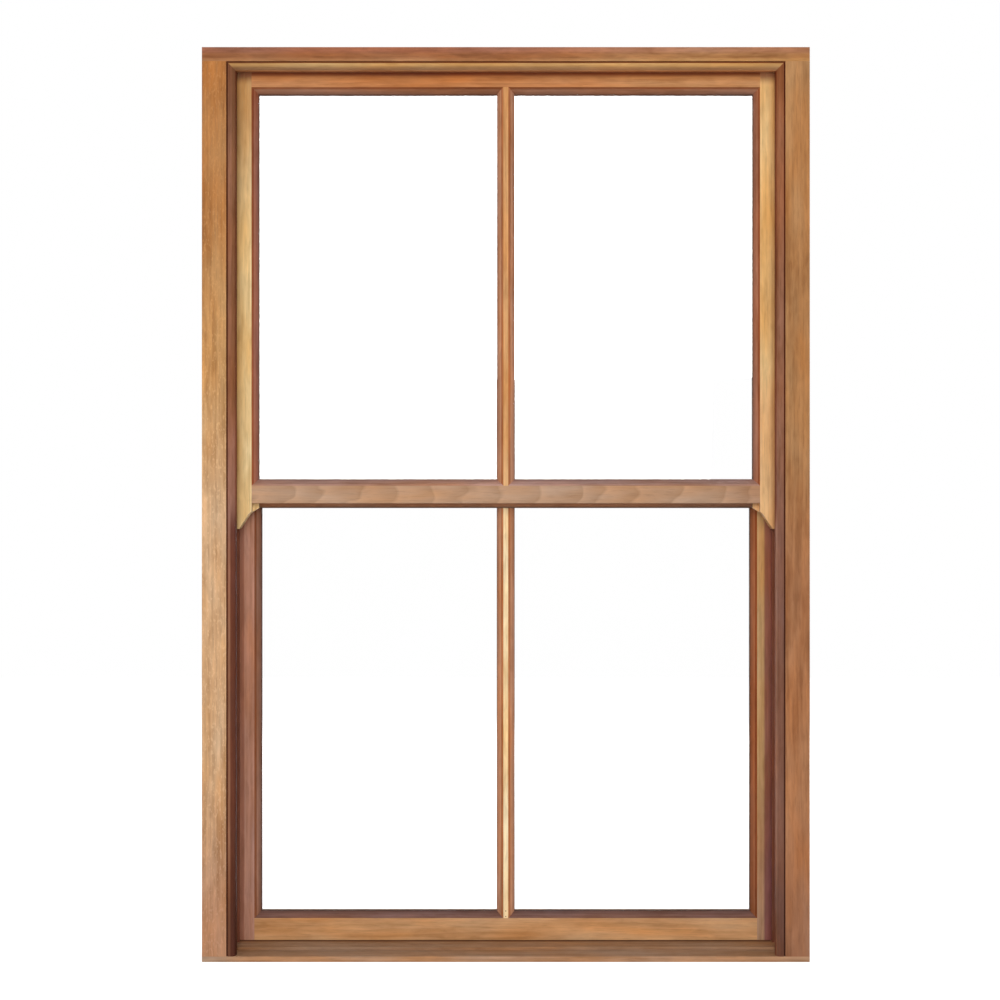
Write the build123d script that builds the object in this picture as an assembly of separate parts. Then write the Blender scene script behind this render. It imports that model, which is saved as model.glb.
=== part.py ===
from build123d import *

import os
from dataclasses import dataclass
from math import radians, tan

# Double-hung timber sash window, seen from outside along +Y. Lengths are in millimetres.
# Depths are measured from the front face of the frame, heights from the underside of the sill.

# Frame
frame_width = 1000.0
frame_height = 1505.0
jamb_thickness = 40.0
head_thickness = 23.0
back_margin = 6.0  # jamb left bare behind the staff beads
tenon_thickness = 18.0  # stub tenons of the jambs
head_tenon_length = 12.0
foot_tenon_length = 10.0
foot_tenon_depth = 34.0

# Sill
sill_nose = 9.0
sill_fall = 9.0  # degrees
sill_step = 4.0
sill_step_back = 35.0
water_bar_width = 6.0
water_bar_height = 8.0
water_bar_back = 60.0

# Beads of the frame
bead_projection = 16.0
outer_bead_depth = 17.0
outer_bead_quirk_width = 2.5
outer_bead_quirk_depth = 3.0
outer_bead_radius = 7.0
parting_bead_thickness = 8.0
parting_bead_groove = 8.0
staff_bead_depth = 16.0
staff_bead_radius = 9.0
sill_bead_height = 10.0
sill_bead_radius = 6.0

# Sashes
sash_thickness = 42.0
track_gap = 1.0  # in front of and behind each sash
side_gap = 2.0  # between a sash and each jamb
head_gap = 2.0  # between the upper sash and the head
sill_gap = 0.8  # between the lower sash and the sill
stile_width = 49.0
top_rail_width = 49.0
bottom_rail_width = 47.5
meeting_rail_width = 40.0
meeting_height = 786.5  # top of the lower sash
meeting_offset = 8.0  # how far the upper meeting rail stands above the lower one
meeting_gap = 0.7  # between the splayed meeting faces
meeting_lip_edge = 1.0  # thin edge of each splayed lip
lip_end_gap = 2.0  # between a lip and the parting bead
arris = 1.0  # chamfer along the sashes' long edges

# Mouldings and glazing
rebate_width = 11.0
glass_thickness = 4.0
glass_edge_gap = 3.0
glazing_bead_depth = 16.0
glazing_bead_land = 2.5  # flat along the outer edge of a glazing bead
glazing_bead_sight = 3.0  # square edge of a glazing bead beside the glass
moulding_quirk = 1.5
moulding_flat = 4.0  # half the flat inner face of a bar
bar_tongue = 8.0  # timber between the two panes
block_length = 30.0
block_inset = 60.0

# Joints of the sashes
tenon_length = 22.0
sash_tenon_thickness = 12.0
sash_tenon_haunch = 12.0
sash_tenon_setback = 3.0  # from the glass to the tenon
tenon_end_gap = 1.0
bar_tenon_length = 14.0
bar_tenon_width = 10.0

# Horns: how far each corner of the outline lies below the rail and beyond the sight line
horn_drop = 42.5
horn_cheek = 7.0
horn_knee_across = 15.0
horn_knee_down = 16.5
horn_toe_across = 32.0

# Spiral balances
tube_radius = 8.0
tube_wall = 1.0
tube_plug = 12.0
tube_head_gap = 4.0
groove_clearance = 1.0
groove_stop = 33.0  # timber left below the groove in the upper sash
lower_groove_stop = 15.0
bracket_thickness = 2.0
bracket_width = 14.0
bracket_height = 22.0
bracket_tube_gap = 3.0
bush_flange = 2.0
bush_length = 12.0
bush_fit = 0.05
rod_radius = 3.5
rod_collar_lip = 1.5
rod_clearance = 0.4
rod_end_gap = 4.0
rod_engagement = 20.0  # rod left inside the tube at full travel

# Sash lifts
lift_spread = 230.0  # from the middle of the window to each lift
lift_width = 44.0
lift_hook_width = 24.0
lift_thickness = 2.5
lift_reach = 22.0
lift_gap = 2.0

# Screws and fixing holes
screw_radius = 1.75
screw_head_radius = 3.4
screw_head_depth = 2.0
screw_slot_width = 0.8
screw_slot_depth = 0.7
screw_gap = 0.1
pilot_end_gap = 1.0
bracket_screw_length = 11.0
bracket_screw_pitch = 10.0
tube_screw_length = 32.0
lift_screw_length = 16.0
lift_screw_pitch = 33.0
fixing_radius = 3.25
fixing_head_radius = 6.0
fixing_head_depth = 8.0
fixing_count = 4
fixing_pitch = 400.0

# Positions that follow from the sizes above
opening_half = frame_width / 2 - jamb_thickness
head_underside = frame_height - head_thickness
bead_edge = opening_half - bead_projection
upper_front = outer_bead_depth + track_gap
upper_back = upper_front + sash_thickness
parting_front = upper_back + track_gap
parting_back = parting_front + parting_bead_thickness
lower_front = parting_back + track_gap
lower_back = lower_front + sash_thickness
staff_front = lower_back + track_gap
frame_depth = staff_front + staff_bead_depth + back_margin
stile_edge = opening_half - side_gap
sight_half = stile_edge - stile_width
glass_seat = glazing_bead_depth + glass_thickness
bar_half = bar_tongue / 2 + rebate_width
moulding_width = bar_half - moulding_flat
upper_top = head_underside - head_gap
upper_sight_top = upper_top - top_rail_width
upper_sight_low = meeting_height + meeting_offset
upper_rail_low = upper_sight_low - meeting_rail_width
horn_low = upper_rail_low - horn_drop
lower_sight_top = meeting_height - meeting_rail_width
lip_half = bead_edge - lip_end_gap
groove_depth = 2 * tube_radius + groove_clearance - side_gap
groove_floor = stile_edge - groove_depth
groove_half = tube_radius + groove_clearance
tube_across = opening_half - tube_radius
tube_top = head_underside - tube_head_gap
upper_groove_low = horn_low + groove_stop
tube_low = upper_groove_low + bracket_height + bracket_tube_gap
bore_top = tube_top - tube_plug


def deep(depth):
    """Y coordinate of a depth behind the front face of the frame."""
    return depth - frame_depth / 2


def sill_top(depth):
    """Height of the weathered top of the sill at a depth."""
    rise = sill_nose + tan(radians(sill_fall)) * min(depth, staff_front)
    return rise + (sill_step if depth >= sill_step_back else 0.0)


sill_inner = sill_top(staff_front)
bottom_rail_low = sill_top(lower_front) + sill_gap
lower_sight_low = bottom_rail_low + bottom_rail_width
lower_groove_low = sill_top(lower_back) + sill_gap + lower_groove_stop
lift_low = sill_inner + sill_bead_height + lift_gap
lift_high = lower_sight_low - moulding_width


def block(left, right, front, back, low, high):
    """Rectangular solid between two planes on each axis, the middle pair given as depths."""
    middle = ((left + right) / 2, deep((front + back) / 2), (low + high) / 2)
    return Pos(*middle) * Box(right - left, back - front, high - low)


def face_plate(points, front, back):
    """Outline in elevation, as (across, height) points, carried from one depth to another."""
    plane = Plane(origin=(0, deep(front), 0), x_dir=(1, 0, 0), z_dir=(0, -1, 0))
    return extrude(plane * make_face(Polyline(*points, close=True)), amount=front - back)


def cross_section(points, left, right):
    """Outline in cross-section, as (depth, height) points, carried across the window."""
    plane = Plane(origin=(left, deep(0), 0), x_dir=(0, 1, 0), z_dir=(1, 0, 0))
    return extrude(plane * make_face(Polyline(*points, close=True)), amount=right - left)


def run(section, start, inward, length):
    """Carry a moulding's section along a member, the section's first axis pointing inward."""
    plane = Plane(origin=start, x_dir=inward, z_dir=Vector(*inward).cross(Vector(0, 1, 0)))
    return extrude(plane * section, amount=length)


def mirrored(shape):
    """The same piece on the other side of the window."""
    return mirror(shape, about=Plane.YZ)


def ring_outline(half, low, high, width, side):
    """Elevation outline of one mitred side of a rectangular ring of beads."""
    corners = [(half[0], low), (half[1], low), (half[1], high), (half[0], high)]
    inner = [
        (half[0] + width, low + width),
        (half[1] - width, low + width),
        (half[1] - width, high - width),
        (half[0] + width, high - width),
    ]
    following = (side + 1) % len(corners)
    return [corners[side], corners[following], inner[following], inner[side]]


def scribe(shape, gap=0.0):
    """Cut the foot of an upright to the top of the sill, raised by a gap."""
    low = -frame_depth
    points = [
        (0, low),
        (0, sill_nose),
        (sill_step_back, sill_top(sill_step_back) - sill_step),
        (sill_step_back, sill_top(sill_step_back)),
        (staff_front, sill_inner),
        (frame_depth, sill_inner),
        (frame_depth, low),
    ]
    return shape - Pos(0, 0, gap) * cross_section(points, -frame_width / 2, frame_width / 2)


def jamb_tenons():
    """Blocks of the right jamb's tenons: into the head at the top, into the sill at the foot."""
    middle = frame_width / 2 - jamb_thickness / 2
    sides = (middle - tenon_thickness / 2, middle + tenon_thickness / 2)
    top = block(*sides, upper_front, lower_back, head_underside, head_underside + head_tenon_length)
    foot_back = staff_front
    foot_low = sill_top(foot_back - foot_tenon_depth) - foot_tenon_length
    foot = block(*sides, foot_back - foot_tenon_depth, foot_back, foot_low, sill_inner)
    return top, foot


def sill():
    """Sill: a low nose, a stepped and weathered top and a flat seat for the staff bead."""
    whole = block(-frame_width / 2, frame_width / 2, 0, frame_depth, 0, sill_inner + sill_step)
    body = whole - scribe(whole)
    groove_back = water_bar_back + water_bar_width
    body -= block(
        -frame_width / 2, frame_width / 2, water_bar_back, groove_back, 0, water_bar_height
    )
    foot = jamb_tenons()[1]
    return body - foot - mirrored(foot)


def head():
    """Head across both jambs, with mortises for them and a groove for the parting bead."""
    body = block(
        -frame_width / 2, frame_width / 2, 0, frame_depth, head_underside, frame_height
    )
    body -= block(
        -bead_edge,
        bead_edge,
        parting_front,
        parting_back,
        head_underside,
        head_underside + parting_bead_groove,
    )
    top = jamb_tenons()[0]
    return body - top - mirrored(top)


def fixing_heights():
    """Heights of the fixing holes, spread evenly about the middle of the frame."""
    first = frame_height / 2 - fixing_pitch * (fixing_count - 1) / 2
    return [first + fixing_pitch * place for place in range(fixing_count)]


def jamb():
    """Right jamb: foot scribed to the sill, tenons, bead groove, pilot holes and fixing holes."""
    body = scribe(block(opening_half, frame_width / 2, 0, frame_depth, 0, head_underside))
    for tenon in jamb_tenons():
        body += tenon
    groove = block(
        opening_half,
        opening_half + parting_bead_groove,
        parting_front,
        parting_back,
        0,
        head_underside,
    )
    body -= groove
    for front in (upper_front, lower_front):
        body -= tube_screw_plane(front) * pilot(tube_screw_length)
    depth = parting_back + fixing_head_radius + track_gap
    for height in fixing_heights():
        mouth = Plane(origin=(opening_half, deep(depth), height), z_dir=(1, 0, 0))
        body -= extrude(mouth * Circle(fixing_radius), amount=jamb_thickness)
        body -= extrude(mouth * Circle(fixing_head_radius), amount=fixing_head_depth)
    return body


def rounded_bead_section(projection, depth, radius):
    """Section of a bead with a quarter round on the edge towards the room."""
    outline = Polyline(
        (projection - radius, depth), (0, depth), (0, 0), (projection, 0), (projection, depth - radius)
    )
    return make_face(outline + CenterArc((projection - radius, depth - radius), radius, 0, 90))


def outer_bead_section():
    """Section of the outer bead: a quirk beside the jamb, a flat and a quarter round."""
    flat_edge = bead_projection - outer_bead_radius
    outline = Polyline(
        (bead_projection, outer_bead_radius),
        (bead_projection, outer_bead_depth),
        (0, outer_bead_depth),
        (0, outer_bead_quirk_depth),
        (outer_bead_quirk_width, outer_bead_quirk_depth),
        (outer_bead_quirk_width, 0),
        (flat_edge, 0),
    )
    corner = CenterArc((flat_edge, outer_bead_radius), outer_bead_radius, -90, 90)
    return make_face(outline + corner)


def ring_bead(section, front, half, low, high, width, side):
    """One mitred bead of a ring: side 0 is the bottom, 1 the right, 2 the top and 3 the left."""
    starts = [(half[1], low), (half[1], high), (half[0], high), (half[0], low)]
    inward = [(0, 0, 1), (-1, 0, 0), (0, 0, -1), (1, 0, 0)]
    length = high - low if side % 2 else half[1] - half[0]
    start = (starts[side][0], deep(front), starts[side][1])
    outline = ring_outline(half, low, high, width, side)
    return run(section, start, inward[side], length) & face_plate(outline, front, frame_depth)


def frame_beads(section, front):
    """Head bead and right bead of a three-sided ring round the frame's opening."""
    half = (-opening_half, opening_half)
    ring = (section, front, half, -bead_projection, head_underside, bead_projection)
    return ring_bead(*ring, 2), scribe(ring_bead(*ring, 1))


def parting_bead():
    """Right parting bead, housed in the jamb from the sill to the head."""
    return scribe(
        block(
            bead_edge,
            opening_half + parting_bead_groove,
            parting_front,
            parting_back,
            0,
            head_underside,
        )
    )


def head_parting_bead():
    """Parting bead under the head, between the side ones."""
    return block(
        -bead_edge,
        bead_edge,
        parting_front,
        parting_back,
        head_underside - bead_projection,
        head_underside + parting_bead_groove,
    )


def sill_bead():
    """Staff bead on the sill, between the side ones."""
    section = rounded_bead_section(sill_bead_height, staff_bead_depth, sill_bead_radius)
    return run(section, (bead_edge, deep(staff_front), sill_inner), (0, 0, 1), 2 * bead_edge)


def member_section(width):
    """Section of a sash member from the sight line outward: glazing rebate, glass seat, ovolo.

    The first axis runs from the sight line into the timber, the second from outside to inside.
    """
    radius = moulding_width - moulding_quirk
    turn = sash_thickness - moulding_quirk - radius
    outline = Polyline(
        (moulding_quirk, turn),
        (0, turn),
        (0, glass_seat),
        (rebate_width, glass_seat),
        (rebate_width, 0),
        (width, 0),
        (width, sash_thickness),
        (moulding_width, sash_thickness),
        (moulding_width, sash_thickness - moulding_quirk),
    )
    return make_face(outline + CenterArc((moulding_width, turn), radius, 90, 90))


def edged_section(width):
    """Member section with its two outer edges eased."""
    section = member_section(width)
    return chamfer(section.vertices().group_by(Axis.X)[-1], arris)


@dataclass
class Rail:
    """A rail of a sash: its sight line, the side its timber lies on (1 up, -1 down), its width.

    Spare timber beyond the width is scribed away afterwards.
    """

    label: str
    sight: float
    inward: int
    width: float
    spare: float = 0.0


def rail_tenon(front, plan, gap=0.0):
    """Tenons at both ends of a rail, as one block right across the sash."""
    half = sight_half + tenon_length + gap
    reach = (sash_tenon_haunch, plan.width - sash_tenon_haunch)
    ends = [plan.sight + plan.inward * distance for distance in reach]
    depth = front + glass_seat + sash_tenon_setback
    return block(-half, half, depth, depth + sash_tenon_thickness, min(ends), max(ends))


def bar_tenon(front, low, high, gap=0.0):
    """Tenons at both ends of a bar, as one block from rail to rail."""
    depth = front + glass_seat + sash_tenon_setback
    half = bar_tenon_width / 2
    reach = bar_tenon_length + gap
    return block(-half, half, depth, depth + sash_tenon_thickness, low - reach, high + reach)


def stile(front, low, high, plans, groove_low):
    """Right stile of a sash, mortised for its rails and grooved for its balance."""
    start = (sight_half, deep(front), low)
    body = run(edged_section(stile_width), start, (1, 0, 0), high - low)
    for plan in plans:
        body -= rail_tenon(front, plan, tenon_end_gap)
    for plane in bracket_screw_planes(front, groove_low):
        body -= plane * pilot(bracket_screw_length)
    middle = front + sash_thickness / 2
    return body - block(
        groove_floor, stile_edge, middle - groove_half, middle + groove_half, groove_low, high
    )


def horned(body):
    """Shape the foot of the upper sash's stile as a horn below the meeting rail."""
    outside = sight_half - horn_drop
    outline = [
        (outside, upper_rail_low - horn_cheek),
        (sight_half, upper_rail_low - horn_cheek),
        (sight_half + horn_knee_across, upper_rail_low - horn_knee_down),
        (sight_half + horn_toe_across, horn_low),
        (outside, horn_low),
    ]
    return body - face_plate(outline, upper_front, upper_back)


def rail(front, plan, stiles, mortises):
    """Rail between the stiles: shoulders scribed to their moulding, tenons into their mortises."""
    half = sight_half + rebate_width
    start = (half * plan.inward, deep(front), plan.sight)
    section = edged_section(plan.width + plan.spare)
    body = run(section, start, (0, 0, plan.inward), 2 * half) + rail_tenon(front, plan)
    for upright in stiles:
        body -= upright
    return body - mortises


def meeting_lip(face, edge_height, thick_height, away):
    """Splayed lip on a meeting rail: thin at one height, thickening towards the other sash."""
    lean = (lower_front - upper_back - 2 * meeting_lip_edge - meeting_gap) / (
        upper_sight_low - lower_sight_top
    )
    thick = meeting_lip_edge + lean * abs(edge_height - thick_height)
    points = [
        (face, edge_height),
        (face + away * meeting_lip_edge, edge_height),
        (face + away * thick, thick_height),
        (face, thick_height),
    ]
    return cross_section(points, -lip_half, lip_half)


def bar(front, low, high, rails):
    """Glazing bar: a tongue between the panes, a moulded inner edge, ends scribed to the rails."""
    start = (bar_half, deep(front), low - rebate_width)
    half = run(member_section(bar_half), start, (-1, 0, 0), -(high - low + 2 * rebate_width))
    for member in rails:
        half -= member
    return half + mirrored(half) + bar_tenon(front, low, high)


def pane_opening(side, low, high):
    """Rebate floor round one pane: its left and right edges, then its lower and upper edges."""
    across = (bar_tongue / 2, sight_half + rebate_width)
    edges = across if side > 0 else (-across[1], -across[0])
    return edges, low - rebate_width, high + rebate_width


def pane(front, opening):
    """Glass pane against the inner side of the rebate, clear of its floor all round."""
    edges, low, high = opening
    return block(
        edges[0] + glass_edge_gap,
        edges[1] - glass_edge_gap,
        front + glazing_bead_depth,
        front + glass_seat,
        low + glass_edge_gap,
        high - glass_edge_gap,
    )


def setting_blocks(front, opening):
    """Two blocks that the pane stands on."""
    edges, low, _ = opening
    return [
        block(
            left,
            left + block_length,
            front + glazing_bead_depth,
            front + glass_seat,
            low,
            low + glass_edge_gap,
        )
        for left in (edges[0] + block_inset, edges[1] - block_inset - block_length)
    ]


def glazing_beads(front, opening):
    """Four mitred beads with a splayed face, pinned in front of the pane."""
    edges, low, high = opening
    section = make_face(
        Polyline(
            (0, 0),
            (glazing_bead_land, 0),
            (rebate_width, glazing_bead_depth - glazing_bead_sight),
            (rebate_width, glazing_bead_depth),
            (0, glazing_bead_depth),
            close=True,
        )
    )
    names = ("bottom", "right", "top", "left")
    return {
        name: ring_bead(section, front, edges, low, high, rebate_width, side)
        for side, name in enumerate(names)
    }


def screw_form(length, gap=0.0):
    """Countersunk screw along +Z, its head flush at the origin, widened by a gap."""
    shank = screw_radius + gap
    outline = Polyline(
        (0, 0),
        (screw_head_radius + gap, 0),
        (shank, screw_head_depth),
        (shank, length),
        (0, length),
        close=True,
    )
    return revolve(Plane.XZ * make_face(outline), Axis.Z)


def screw(length):
    """Countersunk screw with a slotted head."""
    slot = Box(2 * screw_head_radius, screw_slot_width, 2 * screw_slot_depth)
    return screw_form(length) - slot


def screw_seat(length):
    """Room that a screw needs in metal: its own form with a clearance, and the way in to it."""
    way_in = Cylinder(
        screw_head_radius + screw_gap, 2 * screw_head_depth, align=(Align.CENTER, Align.CENTER, Align.MAX)
    )
    return screw_form(length, screw_gap) + way_in


def pilot(length):
    """Hole for the shank of a screw in timber, along +Z from the screw's head."""
    depth = length + pilot_end_gap
    return Cylinder(screw_radius + screw_gap, depth, align=(Align.CENTER, Align.CENTER, Align.MIN))


def balance_depth(front):
    """Depth of the middle line of the balances of a sash."""
    return front + sash_thickness / 2


def tube_screw_plane(front):
    """Head and direction of the screw that holds a balance tube to the right jamb."""
    across = tube_across - tube_radius + screw_head_depth
    height = tube_top - tube_plug / 2
    return Plane(origin=(across, deep(balance_depth(front)), height), z_dir=(1, 0, 0))


def balance_tube(front):
    """Right balance tube: open below, closed above by a plug that takes its screw."""
    foot = Pos(tube_across, deep(balance_depth(front)), tube_low)
    upright = (Align.CENTER, Align.CENTER, Align.MIN)
    body = foot * Cylinder(tube_radius, tube_top - tube_low, align=upright)
    body -= foot * Cylinder(tube_radius - tube_wall, bore_top - tube_low, align=upright)
    return body - tube_screw_plane(front) * screw_seat(tube_screw_length)


def balance_bush(front):
    """Flanged bush in the lower end of a right balance tube, which guides the rod."""
    foot = Pos(tube_across, deep(balance_depth(front)), tube_low)
    body = foot * Cylinder(
        tube_radius - tube_wall - bush_fit, bush_length, align=(Align.CENTER, Align.CENTER, Align.MIN)
    )
    body += foot * Cylinder(
        tube_radius, bush_flange, align=(Align.CENTER, Align.CENTER, Align.MAX)
    )
    return body - foot * Cylinder(rod_radius + rod_clearance, 2 * bush_length)


def balance_rod(front, low, high):
    """Right rod, the outline of the spiral strip, with a collar that stands on the bracket."""
    foot = Pos(tube_across, deep(balance_depth(front)), low)
    upright = (Align.CENTER, Align.CENTER, Align.MIN)
    collar = Pos(0, 0, bracket_thickness) * Cylinder(
        rod_radius + rod_collar_lip, bracket_thickness, align=upright
    )
    return foot * (Cylinder(rod_radius, high - low, align=upright) + collar)


def bracket_screw_planes(front, low):
    """Heads and directions of the screws of a right foot bracket."""
    middle = low + bracket_thickness + (bracket_height - bracket_thickness) / 2
    return [
        Plane(
            origin=(groove_floor + bracket_thickness, deep(balance_depth(front)), height),
            z_dir=(-1, 0, 0),
        )
        for height in (middle - bracket_screw_pitch / 2, middle + bracket_screw_pitch / 2)
    ]


def foot_bracket(front, low):
    """Right foot bracket: a plate on the groove's floor and a foot that carries the rod."""
    middle = balance_depth(front)
    sides = (middle - bracket_width / 2, middle + bracket_width / 2)
    body = block(
        groove_floor, groove_floor + bracket_thickness, *sides, low, low + bracket_height
    )
    body += block(groove_floor, stile_edge - screw_gap, *sides, low, low + bracket_thickness)
    body -= Pos(tube_across, deep(middle), low) * Cylinder(
        rod_radius + screw_gap, 4 * bracket_thickness
    )
    for plane in bracket_screw_planes(front, low):
        body -= plane * screw_seat(bracket_screw_length)
    return body


def lift_screw_planes(across):
    """Heads and directions of a sash lift's screws."""
    height = (lift_low + lift_high) / 2
    return [
        Plane(origin=(across + side, deep(lower_back + lift_thickness), height), z_dir=(0, -1, 0))
        for side in (-lift_screw_pitch / 2, lift_screw_pitch / 2)
    ]


def sash_lift(across):
    """Hook lift: a base plate on the bottom rail and a hook that curls up in front of it."""
    height = lift_high - lift_low
    middle = (lift_low + lift_high) / 2
    wall = Plane(origin=(across, deep(lower_back), middle), x_dir=(1, 0, 0), z_dir=(0, 1, 0))
    body = extrude(wall * RectangleRounded(lift_width, height, lift_thickness), lift_thickness)
    radius = lift_reach / 2
    ring = Circle(radius) - Circle(radius - lift_thickness)
    ring -= Pos(0, radius) * Rectangle(2 * radius, 2 * radius)
    leg = height - radius - lift_thickness / 2
    tip = Pos(radius - lift_thickness / 2, leg) * Circle(lift_thickness / 2)
    upright = Pos(radius - lift_thickness / 2, leg / 2) * Rectangle(lift_thickness, leg)
    side = Plane(
        origin=(across - lift_hook_width / 2, deep(lower_back) + radius, lift_low + radius),
        x_dir=(0, 1, 0),
        z_dir=(1, 0, 0),
    )
    body += extrude(side * (ring + upright + tip), lift_hook_width)
    for plane in lift_screw_planes(across):
        body -= plane * screw_seat(lift_screw_length)
    return body


def both_hands(shape):
    """A right-hand piece and its left-hand twin, as one group."""
    return Compound(children=[*shape.solids(), *mirrored(shape).solids()])


def group(shapes):
    """Separate solids of one kind, as one group."""
    return Compound(children=[solid for shape in shapes for solid in shape.solids()])


def balance_pieces(name, front, low, rod_high):
    """Rods, brackets and bracket screws of a sash's two balances, which move with the sash."""
    screws = [plane * screw(bracket_screw_length) for plane in bracket_screw_planes(front, low)]
    return {
        f"{name}_balance_rods": both_hands(balance_rod(front, low, rod_high)),
        f"{name}_balance_brackets": both_hands(foot_bracket(front, low)),
        f"{name}_bracket_screws": both_hands(group(screws)),
    }


def sash(name, front, upright, plans):
    """Timber, glass and beads of one sash, from its right stile and its lower and upper rails."""
    low, high = [plan.sight for plan in plans]
    stiles = (upright, mirrored(upright))
    mortises = bar_tenon(front, low, high, tenon_end_gap)
    rails = {f"{name}_{plan.label}": rail(front, plan, stiles, mortises) for plan in plans}
    pieces = {f"{name}_stile_right": stiles[0], f"{name}_stile_left": stiles[1], **rails}
    pieces[f"{name}_bar"] = bar(front, low, high, rails.values())
    blocks = []
    for side, hand in ((-1, "left"), (1, "right")):
        opening = pane_opening(side, low, high)
        pieces[f"{name}_pane_{hand}"] = pane(front, opening)
        blocks += setting_blocks(front, opening)
        for place, bead in glazing_beads(front, opening).items():
            pieces[f"{name}_{hand}_bead_{place}"] = bead
    pieces[f"{name}_setting_blocks"] = group(blocks)
    return pieces


def upper_sash():
    """Upper sash in the outer track, with horns below its meeting rail."""
    plans = (
        Rail("meeting_rail", upper_sight_low, -1, meeting_rail_width),
        Rail("top_rail", upper_sight_top, 1, top_rail_width),
    )
    upright = horned(stile(upper_front, horn_low, upper_top, plans, upper_groove_low))
    pieces = sash("upper", upper_front, upright, plans)
    pieces["upper_meeting_rail"] += meeting_lip(upper_back, upper_sight_low, upper_rail_low, 1)
    rod_high = bore_top - rod_end_gap
    return pieces | balance_pieces("upper", upper_front, upper_groove_low, rod_high)


def lower_sash():
    """Lower sash in the inner track, its foot bevelled to the sill, with two lifts."""
    plans = (
        Rail("bottom_rail", lower_sight_low, -1, bottom_rail_width, sill_inner),
        Rail("meeting_rail", lower_sight_top, 1, meeting_rail_width),
    )
    upright = scribe(stile(lower_front, 0, meeting_height, plans, lower_groove_low), sill_gap)
    pieces = sash("lower", lower_front, upright, plans)
    pieces["lower_meeting_rail"] += meeting_lip(lower_front, lower_sight_top, meeting_height, -1)
    bottom_rail = scribe(pieces["lower_bottom_rail"], sill_gap)
    screws = []
    for hand, across in (("left", -lift_spread), ("right", lift_spread)):
        pieces[f"sash_lift_{hand}"] = sash_lift(across)
        for plane in lift_screw_planes(across):
            bottom_rail -= plane * pilot(lift_screw_length)
            screws.append(plane * screw(lift_screw_length))
    pieces["lower_bottom_rail"] = bottom_rail
    pieces["lift_screws"] = group(screws)
    rod_high = tube_low + rod_engagement
    return pieces | balance_pieces("lower", lower_front, lower_groove_low, rod_high)


def frame():
    """Fixed frame: sill, jambs and head, their beads, and the tubes of the four balances."""
    uprights = {"jamb": jamb(), "parting_bead": parting_bead()}
    pieces = {"sill": sill(), "head": head(), "parting_bead_head": head_parting_bead()}
    rounded = rounded_bead_section(bead_projection, staff_bead_depth, staff_bead_radius)
    rings = {"outer_bead": (outer_bead_section(), 0), "staff_bead": (rounded, staff_front)}
    for name, (section, front) in rings.items():
        pieces[f"{name}_head"], uprights[name] = frame_beads(section, front)
    for name, shape in uprights.items():
        pieces[f"{name}_right"] = shape
        pieces[f"{name}_left"] = mirrored(shape)
    pieces["staff_bead_sill"] = sill_bead()
    fronts = (upper_front, lower_front)
    for name, front in zip(("upper", "lower"), fronts):
        pieces[f"{name}_balance_tubes"] = both_hands(balance_tube(front))
    pieces["balance_bushes"] = both_hands(group([balance_bush(front) for front in fronts]))
    screws = [tube_screw_plane(front) * screw(tube_screw_length) for front in fronts]
    pieces["tube_screws"] = both_hands(group(screws))
    return pieces


os.makedirs("parts", exist_ok=True)
for node, shape in (frame() | upper_sash() | lower_sash()).items():
    export_step(shape, f"parts/{node}.step")
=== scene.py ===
import logging
import math
from dataclasses import dataclass, replace
from enum import Enum

import bpy
import numpy as np
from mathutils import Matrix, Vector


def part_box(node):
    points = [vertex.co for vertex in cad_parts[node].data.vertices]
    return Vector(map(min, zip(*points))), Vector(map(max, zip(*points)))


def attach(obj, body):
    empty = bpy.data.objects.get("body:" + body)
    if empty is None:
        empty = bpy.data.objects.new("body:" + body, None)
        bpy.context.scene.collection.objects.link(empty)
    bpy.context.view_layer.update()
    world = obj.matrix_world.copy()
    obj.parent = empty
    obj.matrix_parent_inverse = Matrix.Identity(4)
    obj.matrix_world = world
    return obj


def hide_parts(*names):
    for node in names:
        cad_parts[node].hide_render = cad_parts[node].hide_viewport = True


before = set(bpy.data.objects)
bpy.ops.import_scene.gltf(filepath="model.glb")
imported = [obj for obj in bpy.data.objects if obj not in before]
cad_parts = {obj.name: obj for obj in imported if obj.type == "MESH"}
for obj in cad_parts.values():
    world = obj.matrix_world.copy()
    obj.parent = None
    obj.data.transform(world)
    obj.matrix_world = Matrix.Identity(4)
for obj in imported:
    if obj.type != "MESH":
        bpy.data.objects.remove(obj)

LOG = logging.getLogger("sash_window")
Rgb = tuple[int, int, int]
Pair = tuple[float, float]
Triple = tuple[float, float, float]
Points = np.ndarray
Faces = list[tuple[int, ...]]
Socket = bpy.types.NodeSocket
NOISE_LOW, NOISE_HIGH = 0.3, 0.7  # the part of a noise's reach that is opened out
HALFWAY = 0.5  # the middle of a layer's reach, and of the timber's tones


class Axis(Enum):
    """An axis of the window: across, from outside to inside, or up."""

    ACROSS = "X"
    DEPTH = "Y"
    HEIGHT = "Z"


class Side(Enum):
    """A hand of the window as seen from outside."""

    LEFT = "left"
    RIGHT = "right"


def linear(colour: Rgb, strength: float = 1.0) -> tuple[float, float, float, float]:
    """Turn a written colour into the linear colour that a shader takes.

    Args:
        colour: red, green and blue from 0 to 255, as a screen shows them.
        strength: factor on the linear colour.

    Returns:
        Red, green, blue and an alpha of one.
    """
    part = np.array(colour, float) / 255
    value = np.where(part <= 0.04045, part / 12.92, ((part + 0.055) / 1.055) ** 2.4) * strength
    return (*np.clip(value, 0, 1).tolist(), 1.0)


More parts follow.
